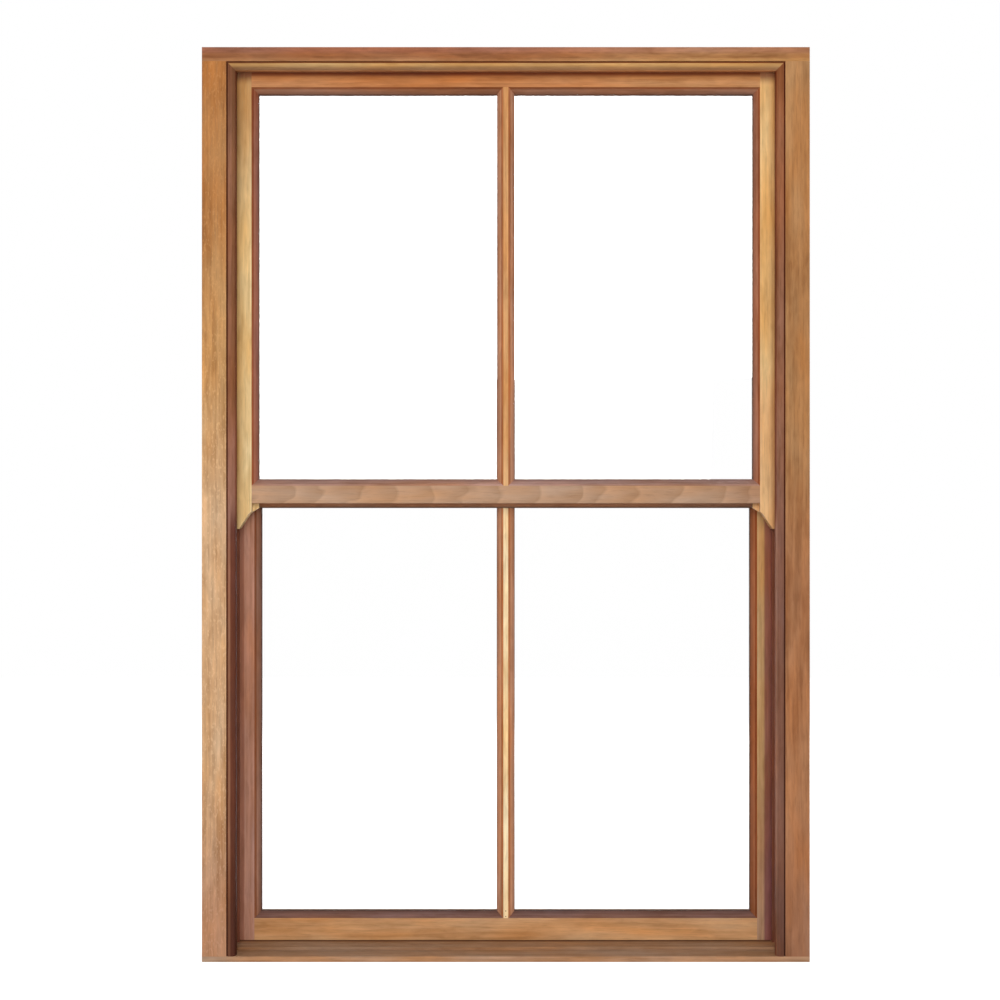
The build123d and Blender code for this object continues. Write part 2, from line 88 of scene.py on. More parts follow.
class Recipe:
    """Node tree of one material, with short calls for the nodes that the finishes need."""

    def __init__(self, name: str) -> None:
        """Start an empty material with its output and its main shader.

        Args:
            name: the material's name.
        """
        self.material = bpy.data.materials.new(name)
        self.material.use_nodes = True
        self.tree = self.material.node_tree
        self.tree.nodes.clear()
        output = self.tree.nodes.new("ShaderNodeOutputMaterial")
        self.shader = self.tree.nodes.new("ShaderNodeBsdfPrincipled")
        self.join(self.shader.outputs["BSDF"], output.inputs["Surface"])
        self.place = self.tree.nodes.new("ShaderNodeTexCoord").outputs["Object"]

    def join(self, source: Socket, target: Socket) -> None:
        """Link an output to an input."""
        self.tree.links.new(source, target)

    def feed(self, target: Socket, value: object) -> None:
        """Give an input a value, or link it where the value is another node's output.

        Args:
            target: the input.
            value: a plain value or an output.
        """
        if isinstance(value, Socket):
            self.join(value, target)
        else:
            target.default_value = value

    def math(self, operation: str, *values: object) -> Socket:
        """Work out one number from up to three numbers or outputs.

        Args:
            operation: what the math node works out, in its own word.
            values: the numbers or outputs, in the node's order.

        Returns:
            The result.
        """
        node = self.tree.nodes.new("ShaderNodeMath")
        node.operation = operation
        for target, value in zip(node.inputs, values):
            self.feed(target, value)
        return node.outputs[0]

    def square(self, value: object) -> Socket:
        """Multiply a number by itself."""
        return self.math("MULTIPLY", value, value)

    def split(self, vector: Socket) -> dict[str, Socket]:
        """Take a vector apart.

        Args:
            vector: the vector.

        Returns:
            Its X, Y and Z by name.
        """
        node = self.tree.nodes.new("ShaderNodeSeparateXYZ")
        self.join(vector, node.inputs[0])
        return {name: node.outputs[name] for name in "XYZ"}

    def joined(self, *parts: Socket) -> Socket:
        """Put three numbers together as a vector.

        Args:
            parts: the three numbers.

        Returns:
            The vector.
        """
        node = self.tree.nodes.new("ShaderNodeCombineXYZ")
        for target, part in zip(node.inputs, parts):
            self.join(part, target)
        return node.outputs[0]

    def noise(self, vector: object, scale: float, detail: float = 2.0, warp: float = 0.0) -> Socket:
        """Cloudy noise of zero to one with its contrast opened out.

        Args:
            vector: where the noise is read.
            scale: features per metre along the vector.
            detail: octaves.
            warp: how much the noise bends itself.

        Returns:
            The noise's output, stretched so that it fills zero to one.
        """
        node = self.tree.nodes.new("ShaderNodeTexNoise")
        self.feed(node.inputs["Vector"], vector)
        node.inputs["Scale"].default_value = scale
        node.inputs["Detail"].default_value = detail
        node.inputs["Distortion"].default_value = warp
        return self.ramp(node.outputs["Fac"], NOISE_LOW, NOISE_HIGH)

    def ramp(self, value: object, low: object, high: object, smooth: bool = False) -> Socket:
        """Map a value from low..high to zero..one, and clamp it.

        Args:
            value: the value.
            low: what becomes zero.
            high: what becomes one. It may lie below low.
            smooth: ease in and out.

        Returns:
            The mapped value.
        """
        node = self.tree.nodes.new("ShaderNodeMapRange")
        node.interpolation_type = "SMOOTHSTEP" if smooth else "LINEAR"
        for name, part in (("Value", value), ("From Min", low), ("From Max", high)):
            self.feed(node.inputs[name], part)
        return node.outputs["Result"]

    def mapped(self, vector: object, scale: Triple, location: Triple = (0, 0, 0)) -> Socket:
        """Scale a vector along each axis, then move it.

        Args:
            vector: the vector.
            scale: factor on each axis.
            location: how far it is moved.

        Returns:
            The new vector.
        """
        node = self.tree.nodes.new("ShaderNodeMapping")
        self.feed(node.inputs["Vector"], vector)
        node.inputs["Scale"].default_value = scale
        node.inputs["Location"].default_value = location
        return node.outputs["Vector"]

    def mix(self, factor: object, first: object, second: object, blend: str = "MIX") -> Socket:
        """Blend two colours.

        Args:
            factor: zero for the first colour, one for the full blend with the second.
            first: the first colour.
            second: the second colour.
            blend: how they are blended.

        Returns:
            The blended colour.
        """
        node = self.tree.nodes.new("ShaderNodeMix")
        node.data_type = "RGBA"
        node.blend_type = blend
        colours = [socket for socket in node.inputs if socket.type == "RGBA"]
        self.feed(node.inputs["Factor"], factor)
        self.feed(colours[0], first)
        self.feed(colours[1], second)
        return next(socket for socket in node.outputs if socket.type == "RGBA")

    def skin(self, colour: Socket, rough: Socket) -> None:
        """Give the main shader its colour and its roughness."""
        self.join(colour, self.shader.inputs["Base Color"])
        self.join(rough, self.shader.inputs["Roughness"])

    def bump(self, height: Socket, distance: float, strength: float) -> None:
        """Raise the surface by a height from zero to one times a distance in metres.

        Args:
            height: the height's output.
            distance: the full height in metres.
            strength: how much of it the shading takes.
        """
        node = self.tree.nodes.new("ShaderNodeBump")
        node.inputs["Strength"].default_value = strength
        node.inputs["Distance"].default_value = distance
        self.feed(node.inputs["Height"], height)
        self.join(node.outputs["Normal"], self.shader.inputs["Normal"])


@dataclass(frozen=True)
class Band:
    """A soft change of colour across a piece, from one place on an axis to another, in metres.

    The timber's red, green and blue are multiplied by the factors in full beyond the end, and not
    at all before the start. A second axis, start and end may keep the band to a part of the piece,
    and the dullness is added to the roughness.
    """

    axis: Axis
    start: float
    end: float
    factors: Triple
    within: tuple[Axis, float, float] | None = None
    dullness: float = 0.0

    def reach(self, recipe: Recipe, parts: dict[str, Socket]) -> Socket:
        """Work out how much of the band a place has.

        Args:
            recipe: the material's nodes.
            parts: X, Y and Z of the place.

        Returns:
            An amount from zero to one.
        """
        amount = recipe.ramp(parts[self.axis.value], self.start, self.end, smooth=True)
        if self.within:
            axis, start, end = self.within
            kept = recipe.ramp(parts[axis.value], start, end, smooth=True)
            amount = recipe.math("MULTIPLY", amount, kept)
        return amount


@dataclass(frozen=True)
class Layer:
    """Noise drawn out along the grain: features per metre each way, octaves, bend and start."""

    across: float
    along: float
    detail: float = 2.0
    warp: float = 0.0
    start: Triple = (0, 0, 0)

    def read(self, recipe: Recipe, grain: Socket) -> Socket:
        """Read the layer at a place whose last part runs along the grain."""
        place = recipe.mapped(grain, (self.across, self.across, self.along), self.start)
        return recipe.noise(place, 1.0, self.detail, self.warp)


TONE = Layer(20.0, 3.0, 2.0, 0.4)
MOTTLE = Layer(100.0, 26.0, 3.0, 0.5, (5, 2, 7))
STREAK = Layer(170.0, 7.0, 3.0)
FINE = Layer(700.0, 18.0)
SPECKS = Layer(1000.0, 50.0, 1.0)
HUE = Layer(34.0, 6.0, 2.0, 0.0, (3, 1, 2))
FLECKS = Layer(380.0, 150.0, 1.0)
RING_BEND = Layer(9.0, 1.3, 1.0)
RIPPLE_WANDER = Layer(28.0, 20.0, 1.0)


@dataclass(frozen=True)
class Timber:
    """Varnished hardwood: growth rings about a pith, streaks, pores and tone along the grain.

    Lengths are in metres. A weight says how far its layer moves the tone, a factor is on the
    light of the middle colour, and a range is where a noise starts to show and shows in full.
    """

    name: str
    middle: Rgb
    grain: Axis
    seed: float
    bands: tuple[Band, ...] = ()
    warm: Rgb = (255, 230, 196)
    pale_factor: float = 1.28
    dark_factor: float = 0.66
    dark_warmth: Triple = (1.07, 0.97, 0.84)
    tone_ends: Pair = (0.05, 0.95)
    ring_spacing: float = 0.007
    pith: Pair = (0.05, 0.09)
    tone_weight: float = 0.5
    mottle_weight: float = 0.34
    ring_weight: float = 0.16
    streak_weight: float = 0.34
    fine_weight: float = 0.15
    ring_bend: float = 0.02
    ring_sharpness: float = 1.6
    pith_drift: float = 0.018
    ripple_weight: float = 0.0
    ripple_height: float = 0.0
    ripple_bow: float = 500.0
    ripple_rate: float = 17.0
    ripple_wander: float = 0.55
    ripple_edge: float = 0.13
    ripple_fade: float = 0.9
    pore_range: Pair = (0.72, 0.95)
    pore_amount: float = 0.2
    pore_factor: float = 0.4
    pore_roughness: float = 0.2
    pore_relief: float = -0.6
    fleck_range: Pair = (0.74, 0.9)
    fleck_amount: float = 0.0
    fleck_paleness: float = 1.15
    fine_relief: float = 0.4
    relief_height: float = 0.00025
    relief_strength: float = 0.6
    roughness: float = 0.42
    roughness_spread: float = 0.14
    gloss: float = 0.25
    coat: float = 0.06
    coat_roughness: float = 0.3

    def make(self) -> bpy.types.Material:
        """Build the material: a sum of layers read as a colour, then flecks, bands and pores.

        Returns:
            The finished material.
        """
        recipe = Recipe(self.name)
        parts = recipe.split(recipe.place)
        grain = self.turned(recipe, parts)
        tone = TONE.read(recipe, grain)
        mottle = MOTTLE.read(recipe, grain)
        streak = STREAK.read(recipe, grain)
        fine = FINE.read(recipe, grain)
        pores = recipe.ramp(SPECKS.read(recipe, grain), *self.pore_range)
        layers = [
            (tone, self.tone_weight),
            (mottle, self.mottle_weight),
            (self.rings(recipe, grain), -self.ring_weight),
            (streak, self.streak_weight),
            (fine, self.fine_weight),
        ]
        if self.ripple_weight:
            layers.append((self.ripple(recipe, grain), self.ripple_weight))
        colour = self.coloured(recipe, layers)
        hue = HUE.read(recipe, grain)
        warmer = recipe.mix(1.0, colour, linear(self.warm), "MULTIPLY")
        colour = recipe.mix(hue, colour, warmer)
        if self.fleck_amount:
            spots = recipe.ramp(FLECKS.read(recipe, grain), *self.fleck_range)
            amount = recipe.math("MULTIPLY", spots, self.fleck_amount)
            pale = linear(self.middle, self.pale_factor * self.fleck_paleness)
            colour = recipe.mix(amount, colour, pale)
        rough = recipe.math("MULTIPLY_ADD", fine, self.roughness_spread, self.roughness)
        for band in self.bands:
            stained = recipe.mix(1.0, colour, (*band.factors, 1.0), "MULTIPLY")
            reach = band.reach(recipe, parts)
            colour = recipe.mix(reach, colour, stained)
            if band.dullness:
                rough = recipe.math("MULTIPLY_ADD", reach, band.dullness, rough)
        dark_pores = linear(self.middle, self.pore_factor)
        colour = recipe.mix(recipe.math("MULTIPLY", pores, self.pore_amount), colour, dark_pores)
        recipe.skin(colour, recipe.math("MULTIPLY_ADD", pores, self.pore_roughness, rough))
        shader = recipe.shader
        shader.inputs["Specular IOR Level"].default_value = self.gloss
        shader.inputs["Coat Weight"].default_value = self.coat
        shader.inputs["Coat Roughness"].default_value = self.coat_roughness
        relief = recipe.math("MULTIPLY", fine, self.fine_relief)
        relief = recipe.math("MULTIPLY_ADD", pores, self.pore_relief, relief)
        recipe.bump(relief, self.relief_height, self.relief_strength)
        return recipe.material

    def turned(self, recipe: Recipe, parts: dict[str, Socket]) -> Socket:
        """Turn the place so that its last part runs along the grain, and start it at the seed.

        Args:
            recipe: the material's nodes.
            parts: X, Y and Z of the place.

        Returns:
            The turned place.
        """
        across = {Axis.ACROSS: "Z", Axis.HEIGHT: "X"}[self.grain]
        place = recipe.joined(parts[across], parts["Y"], parts[self.grain.value])
        return recipe.mapped(place, (1, 1, 1), self.spot())

    def spot(self) -> Triple:
        """The seed's spot: steps up to 0.1 m across the grain and up to 3 m along it."""
        return (self.seed * 0.037 % 0.1, self.seed * 0.071 % 0.1, self.seed * 1.13 % 3.0)

    def rings(self, recipe: Recipe, grain: Socket) -> Socket:
        """Growth rings: the distance from a pith, in equal steps, each darkening towards its end.

        The pith drifts along the grain and slow noise bends it, so that flat faces show long loops.

        Args:
            recipe: the material's nodes.
            grain: the turned place.

        Returns:
            Zero at the start of a ring, one at its dark end.
        """
        slow = RING_BEND.read(recipe, grain)
        parts = recipe.split(grain)
        bent = recipe.math("MULTIPLY_ADD", slow, self.ring_bend, self.pith[0])
        first = recipe.math("ADD", parts["X"], bent)
        drifted = recipe.math("MULTIPLY_ADD", parts["Z"], self.pith_drift, self.pith[1])
        second = recipe.math("ADD", parts["Y"], drifted)
        squares = recipe.math("ADD", recipe.square(first), recipe.square(second))
        radius = recipe.math("SQRT", squares)
        step = recipe.math("FRACT", recipe.math("DIVIDE", radius, self.ring_spacing))
        return recipe.math("POWER", step, self.ring_sharpness)

    def ripple(self, recipe: Recipe, grain: Socket) -> Socket:
        """Cross figure: curved bands across the grain, each pale at one side and fading onwards.

        The phase is the place along the grain over a band's length, plus a share that grows with
        the square of the distance from the middle of the rail, and it wanders with noise.

        Args:
            recipe: the material's nodes.
            grain: the turned place.

        Returns:
            One at a band's pale side, near zero at its other side.
        """
        parts = recipe.split(grain)
        wander = RIPPLE_WANDER.read(recipe, grain)
        off = recipe.math("SUBTRACT", parts["X"], self.ripple_height + self.spot()[0])
        bow = recipe.math("MULTIPLY", recipe.square(off), self.ripple_bow)
        bent = recipe.math("MULTIPLY_ADD", wander, self.ripple_wander, bow)
        band = recipe.math("FRACT", recipe.math("MULTIPLY_ADD", parts["Z"], self.ripple_rate, bent))
        sharp = recipe.ramp(band, 0.0, self.ripple_edge)
        fade = recipe.math("SUBTRACT", 1.0, recipe.math("MULTIPLY", band, self.ripple_fade))
        return recipe.math("MULTIPLY", sharp, fade)

    def coloured(self, recipe: Recipe, layers: list[tuple[Socket, float]]) -> Socket:
        """Read the weighted layers' sum as a colour from the timber's dark one to its pale one.

        Args:
            recipe: the material's nodes.
            layers: each layer's output with its weight.

        Returns:
            The colour.
        """
        total: object = HALFWAY
        for layer, weight in layers:
            away = recipe.math("SUBTRACT", layer, HALFWAY)
            total = recipe.math("MULTIPLY_ADD", away, weight, total)
        ramp = recipe.tree.nodes.new("ShaderNodeValToRGB")
        recipe.join(total, ramp.inputs["Fac"])
        low, high = ramp.color_ramp.elements
        low.position, high.position = self.tone_ends
        dark = linear(self.middle, self.dark_factor)[:3]
        low.color = (*np.clip(np.multiply(dark, self.dark_warmth), 0, 1).tolist(), 1.0)
        high.color = linear(self.middle, self.pale_factor)
        ramp.color_ramp.elements.new(HALFWAY).color = linear(self.middle)
        return ramp.outputs["Color"]


@dataclass(frozen=True)
class Metal:
    """Plated or lacquered metal with fine scratches and slight clouding."""

    name: str
    colour: Rgb
    roughness: float
    roughness_spread: float = 0.18
    scratches: Layer = Layer(900.0, 40.0)
    scratch_depth: float = 0.00005
    scratch_strength: float = 0.5
    cloud_scale: float = 120.0
    cloud_detail: float = 3.0
    cloud_shade: float = 0.8

    def make(self) -> bpy.types.Material:
        """Build the material: scratches are noise drawn out along the height.

        Returns:
            The finished material.
        """
        recipe = Recipe(self.name)
        cloud = recipe.noise(recipe.place, self.cloud_scale, self.cloud_detail)
        scratch = self.scratches.read(recipe, recipe.place)
        colour = recipe.mix(cloud, linear(self.colour, self.cloud_shade), linear(self.colour))
        rough = recipe.math("MULTIPLY_ADD", scratch, self.roughness_spread, self.roughness)
        recipe.skin(colour, rough)
        recipe.shader.inputs["Metallic"].default_value = 1.0
        recipe.bump(scratch, self.scratch_depth, self.scratch_strength)
        return recipe.material


@dataclass(frozen=True)
class Plastic:
    """Drawn or moulded plastic with faint drawing lines and a slightly uneven skin."""

    name: str
    colour: Rgb
    roughness: float = 0.45
    roughness_spread: float = 0.12
    lines: Layer = Layer(700.0, 6.0)
    line_shades: Pair = (0.85, 1.1)
    skin_scale: float = 600.0
    skin_depth: float = 0.0001
    skin_strength: float = 0.3

    def make(self) -> bpy.types.Material:
        """Build the material.

        Returns:
            The finished material.
        """
        recipe = Recipe(self.name)
        lines = self.lines.read(recipe, recipe.place)
        skin = recipe.noise(recipe.place, self.skin_scale)
        dark, pale = (linear(self.colour, shade) for shade in self.line_shades)
        colour = recipe.mix(lines, dark, pale)
        rough = recipe.math("MULTIPLY_ADD", skin, self.roughness_spread, self.roughness)
        recipe.skin(colour, rough)
        recipe.bump(skin, self.skin_depth, self.skin_strength)
        return recipe.material


@dataclass(frozen=True)
class Glass:
    """Clear float glass, faintly uneven. Haze and waves have a scale and octaves each."""

    name: str
    tint: Rgb = (255, 255, 255)
    refraction: float = 1.5
    haze: Pair = (9.0, 3.0)
    haze_shade: float = 0.997
    haze_roughness: float = 0.006
    waves: Pair = (3.0, 1.0)
    wave_depth: float = 0.0002
    wave_strength: float = 0.05

    def make(self) -> bpy.types.Material:
        """Build the material.

        Returns:
            The finished material.
        """
        recipe = Recipe(self.name)
        haze = recipe.noise(recipe.place, *self.haze)
        colour = recipe.mix(haze, linear(self.tint, self.haze_shade), linear(self.tint))
        recipe.skin(colour, recipe.math("MULTIPLY", haze, self.haze_roughness))
        recipe.shader.inputs["Transmission Weight"].default_value = 1.0
        recipe.shader.inputs["IOR"].default_value = self.refraction
        recipe.bump(recipe.noise(recipe.place, *self.waves), self.wave_depth, self.wave_strength)
        return recipe.material


def put(name: str, data: bpy.types.ID) -> bpy.types.Object:
    """Put a mesh, a lamp or a camera into the scene.

    Args:
        name: the object's name.
        data: the mesh, lamp or camera.

    Returns:
        The new object.
    """
    holder = bpy.data.objects.new(name, data)
    bpy.context.scene.collection.objects.link(holder)
    return holder


def new_piece(name: str, points: Points, faces: Faces, body: str) -> bpy.types.Object:
    """Make a mesh piece in place and let it ride on a body.

    Args:
        name: the piece's name.
        points: corners in metres, one row each.
        faces: corner numbers of each face, counter-clockwise seen from outside.
        body: the body that carries the piece.

    Returns:
        The new object.
    """
    mesh = bpy.data.meshes.new(name)
    mesh.from_pydata(points.tolist(), [], faces)
    mesh.validate()
    mesh.update()
    piece = put(name, mesh)
    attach(piece, body)
    return piece


def full_turn(count: int) -> Points:
    """Angles of a ring's points, in one row."""
    return np.linspace(0, 2 * math.pi, count, endpoint=False)[None, :]


def as_points(across: Points, depth: Points, height: Points) -> Points:
    """Put rings' measures along the three axes together, one row for each point."""
    return np.stack(np.broadcast_arrays(across, depth, height), axis=-1).reshape(-1, 3)


def tube_faces(around: int, rings: int, first: int = 0) -> Faces:
    """Faces of a closed tube: rings of points joined in turn, with a cap at each end.

    Args:
        around: points in a ring.
        rings: how many rings.
        first: number of the tube's first point.

    Returns:
        Corner numbers of each face.
    """
    corner = first + np.arange(around * rings).reshape(rings, around)
    following = np.roll(corner, -1, axis=1)
    sides = np.stack([corner[:-1], following[:-1], following[1:], corner[1:]], axis=-1)
    caps = (tuple(corner[0, ::-1].tolist()), tuple(corner[-1].tolist()))
    return [*map(tuple, sides.reshape(-1, 4).tolist()), *caps]


def paint(node: str, material: bpy.types.Material) -> None:
    """Put a material on a CAD node and report it.

    Args:
        node: the node's name.
        material: its finish.
    """
    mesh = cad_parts[node].data
    mesh.materials.clear()
    mesh.materials.append(material)
    LOG.info("%s: %s", node, material.name)


def shade_smooth(piece: bpy.types.Object) -> None:
    """Smooth the shading of a piece's faces."""
    piece.data.polygons.foreach_set("use_smooth", np.ones(len(piece.data.polygons), bool))


@dataclass
class SpiralRods:
    """The twisted strips of one sash's two balances, each standing on a collar on its bracket."""

    name: str
    body: str
    node: str
    strip_width: float = 0.0066
    strip_thickness: float = 0.0018
    pitch: float = 0.075
    steps_per_turn: int = 40
    strip_points: int = 12
    strip_power: float = 0.5
    collar_radius: float = 0.005
    collar_low: float = 0.002
    collar_height: float = 0.002
    collar_points: int = 24
    collar_reach: tuple[float, ...] = (0.9, 1.0, 1.0, 0.9)
    collar_rise: tuple[float, ...] = (0.0, 0.15, 0.85, 1.0)

    def strip(self, centre: Pair, low: float, high: float) -> Points:
        """Points of one strip: a flat oval section turned evenly as it rises.

        The section is an ellipse's square cousin, cos and sin raised to a small power, turned by
        the height times a full turn over the pitch.

        Args:
            centre: across and depth of the strip's middle line.
            low: height of its foot.
            high: height of its top.

        Returns:
            The points, ring by ring.
        """
        rings = int((high - low) / self.pitch * self.steps_per_turn)
        height = np.linspace(low, high, rings)[:, None]
        cos, sin = np.cos(full_turn(self.strip_points)), np.sin(full_turn(self.strip_points))
        wide = np.sign(cos) * np.abs(cos) ** self.strip_power * self.strip_width / 2
        thin = np.sign(sin) * np.abs(sin) ** self.strip_power * self.strip_thickness / 2
        turn = (height - low) * 2 * math.pi / self.pitch
        across = centre[0] + wide * np.cos(turn) - thin * np.sin(turn)
        depth = centre[1] + wide * np.sin(turn) + thin * np.cos(turn)
        return as_points(across, depth, height)

    def collar(self, centre: Pair, low: float) -> Points:
        """Points of one collar: a short round sleeve with eased edges, ring by ring.

        Args:
            centre: across and depth of the collar's middle line.
            low: height of the rod's foot.

        Returns:
            The points.
        """
        radius = np.array(self.collar_reach)[:, None] * self.collar_radius
        rise = np.array(self.collar_rise)[:, None] * self.collar_height
        around = full_turn(self.collar_points)
        across = centre[0] + radius * np.cos(around)
        depth = centre[1] + radius * np.sin(around)
        return as_points(across, depth, low + self.collar_low + rise)

    def build(self, finish: Metal) -> None:
        """Build both strips with their collars in place of the plain CAD rods.

        Args:
            finish: the rods' metal.
        """
        low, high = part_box(self.node)
        depth = (low.y + high.y) / 2
        points: list[Points] = []
        faces: Faces = []
        count = 0
        for hand in (-1, 1):
            centre = (hand * (high.x - self.collar_radius), depth)
            strip, collar = self.strip(centre, low.z, high.z), self.collar(centre, low.z)
            for part, around in ((strip, self.strip_points), (collar, self.collar_points)):
                faces += tube_faces(around, len(part) // around, count)
                points.append(part)
                count += len(part)
        piece = new_piece(self.name, np.concatenate(points), faces, self.body)
        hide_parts(self.node)
        shade_smooth(piece)
        piece.data.materials.append(finish.make())
        LOG.info("%s: %d points", self.name, count)


@dataclass
class FixedFrame:
    """Sill, head, jambs and their beads, with the tubes of the balances."""

    jamb_left: Rgb = (199, 166, 132)
    jamb_right: Rgb = (158, 111, 77)
    head: Rgb = (140, 92, 60)
    sill: Rgb = (176, 142, 116)
    outer_bead_left: Rgb = (133, 93, 72)
    outer_bead_right: Rgb = (118, 82, 68)
    head_bead: Rgb = (186, 148, 98)
    parting_bead: Rgb = (112, 68, 52)
    staff_bead: Rgb = (168, 118, 78)
    bush: Rgb = (216, 216, 208)
    screw: Rgb = (205, 205, 200)
    tube: Rgb = (88, 58, 42)
    quirk_width: float = 0.0025
    head_quirk_width: float = 0.0032
    quirk_softness: float = 0.0004
    # painted shade: darkening in the outer beads' quirks and down their rounds
    quirk_painted_shade: Triple = (0.34, 0.18, 0.08)
    round_painted_shade: Triple = (0.72, 0.42, 0.34)

    def painted_round_shade(self, front: float) -> Band:
        """Painted shade down the round of an outer bead whose front lies at the given depth."""
        return Band(Axis.DEPTH, front + 0.001, front + 0.0045, self.round_painted_shade)

    def side_bead_bands(self, hand: Side) -> tuple[Band, ...]:
        """Bands of one upright outer bead.

        They are a golden upper part, a cool stretch, painted shade high on the side towards the
        sashes, painted shade under the head, a foot that darkens downwards, painted shade beside
        the lower sash's recess on the left and painted light there on the right, and painted shade
        down the round and in the quirk.

        Args:
            hand: which side of the window.

        Returns:
            The bands, in the order in which they are laid on.
        """
        up, across = Axis.HEIGHT, Axis.ACROSS
        low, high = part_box(f"outer_bead_{hand.value}")
        sign = -1 if hand is Side.LEFT else 1
        edge = sign * max(abs(low.x), abs(high.x))
        inner = sign * min(abs(low.x), abs(high.x))
        groove = edge - sign * self.quirk_width
        # painted shade in the quirk
        quirk = Band(across, groove - sign * self.quirk_softness, groove, self.quirk_painted_shade)
        below = (up, 0.76, 0.71)
        if hand is Side.LEFT:
            golden = Band(up, 0.70, 0.86, (1.04, 1.0, 0.95))
            head_shade = Band(up, 1.28, 1.42, (0.72, 0.66, 0.58))
            foot = Band(up, 0.2, 0.05, (0.76, 0.74, 0.78))
            # painted shade on the bead beside the lower sash's recess
            recess_painted_light_and_shade = Band(across, inner - 0.0102, inner - 0.0084, (0.44, 0.30, 0.28), below)
            cool = Band(up, 0.94, 0.86, (1.1, 1.24, 1.7), (up, 0.56, 0.64))
            upper = (up, 0.86, 0.95)
            # painted shade high on the side towards the sashes
            inward = Band(across, inner - 0.008, inner - 0.0055, (0.84, 0.82, 0.7), upper)
        else:
            golden = Band(up, 0.70, 0.86, (1.46, 1.34, 1.04))
            head_shade = Band(up, 1.38, 1.46, (0.8, 0.76, 0.68))
            foot = Band(up, 0.25, 0.06, (0.64, 0.62, 0.64))
            # painted light on the bead beside the lower sash's recess
            recess_painted_light_and_shade = Band(across, inner + 0.0035, inner + 0.0012, (1.9, 2.6, 2.9), below)
            cool = Band(up, 1.12, 1.04, (1.03, 1.16, 1.4), (up, 0.48, 0.58))
            upper = (up, 0.98, 1.06)
            # painted shade high on the side towards the sashes
            inward = Band(across, inner + 0.006, inner + 0.0035, (0.9, 0.86, 0.78), upper)
        return golden, cool, inward, head_shade, foot, recess_painted_light_and_shade, self.painted_round_shade(low.y), quirk

    def dress_beads(self) -> None:
        """Finish the outer beads, with painted shade in their quirks, down their rounds and under
        the head bead.
        """
        sides = ((Side.LEFT, self.outer_bead_left, 4.0), (Side.RIGHT, self.outer_bead_right, 6.0))
        for hand, tone, seed in sides:
            node = f"outer_bead_{hand.value}"
            finish = Timber(f"{node}_timber", tone, Axis.HEIGHT, seed, self.side_bead_bands(hand))
            paint(node, replace(finish, gloss=0.16, coat=0.02).make())
        low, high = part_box("outer_bead_head")
        groove = high.z - self.head_quirk_width
        # painted shade in the head bead's quirk
        quirk = Band(Axis.HEIGHT, groove - self.quirk_softness, groove, self.quirk_painted_shade)
        # painted shade on the head bead's underside
        under = Band(Axis.HEIGHT, low.z + 0.0105, low.z + 0.0035, (0.49, 0.43, 0.46))
        # painted light along the head bead's lowest edge, easing the painted shade above it
        lip = Band(Axis.HEIGHT, low.z + 0.0022, low.z + 0.0006, (2.1, 2.8, 3.2))
        ends = Band(Axis.ACROSS, -0.36, -0.45, (0.84, 0.88, 0.95))
        bands = (under, self.painted_round_shade(low.y), lip, quirk, ends)
        finish = Timber("outer_bead_head_timber", self.head_bead, Axis.ACROSS, 7.0, bands)
        paint("outer_bead_head", finish.make())

    def dress_inner_beads(self) -> None:
        """Finish the parting and staff beads, each piece with its own figure."""
        kinds = (("parting", self.parting_bead, 8.0), ("staff", self.staff_bead, 11.0))
        for kind, tone, seed in kinds:
            for step, place in enumerate(("left", "right", "head", "sill")):
                node = f"{kind}_bead_{place}"
                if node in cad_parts:
                    grain = Axis.HEIGHT if place in ("left", "right") else Axis.ACROSS
                    paint(node, Timber(f"{node}_timber", tone, grain, seed + step).make())

    def dress_carcase(self) -> None:
        """Finish the jambs, the head and the sill, each paler or darker as the varnish has aged,
        with painted shade on the sill's slopes and on its top just before the lower sash.
        """
        up, along = Axis.HEIGHT, Axis.ACROSS
        low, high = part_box("head")
        golden = Band(up, 0.70, 1.02, (0.97, 0.86, 0.60))
        ruddy = Band(up, 0.80, 1.36, (0.68, 0.54, 0.44))
        worn_left = Band(up, 0.35, 0.05, (0.75, 0.63, 0.65))
        olive = Band(up, 0.60, 0.90, (1.03, 1.14, 1.0))
        worn_right = Band(up, 0.3, 0.05, (0.8, 0.83, 1.0))
        purple = Band(up, high.z - 0.013, high.z - 0.005, (1.1, 1.1, 1.6))
        tan = Band(up, low.z + 0.007, low.z + 0.002, (1.28, 1.5, 1.6))
        pale_end = Band(along, -0.05, 0.38, (1.3, 1.5, 1.35))
        inward = Axis.DEPTH
        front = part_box("sill")[0].y
        # painted shade on the sill's slopes
        slopes = Band(inward, front, front + 0.003, (0.71, 0.68, 0.64), (inward, 0.045, 0.03))
        # painted shade on the sill's top just before the lower sash
        sheltered = Band(inward, -0.0065, 0.0005, (0.45, 0.35, 0.27), (inward, 0.010, 0.004))
        weathered = Band(along, -0.42, -0.5, (0.9, 1.02, 1.15))
        jamb = Timber(
            "jamb_left_timber", self.jamb_left, up, 1.0,
            mottle_weight=0.42, tone_weight=0.6, streak_weight=0.44, fine_weight=0.12,
        )
        finishes = {
            "jamb_left": replace(jamb, bands=(golden, ruddy, worn_left), fleck_amount=0.3),
            "jamb_right": replace(
                jamb, name="jamb_right_timber", middle=self.jamb_right, seed=2.0,
                bands=(olive, worn_right),
            ),
            "head": Timber(
                "head_timber", self.head, along, 3.0, (purple, tan, pale_end), mottle_weight=0.55
            ),
            "sill": Timber("sill_timber", self.sill, along, 4.0, (slopes, sheltered, weathered)),
        }
        for node, finish in finishes.items():
            paint(node, finish.make())

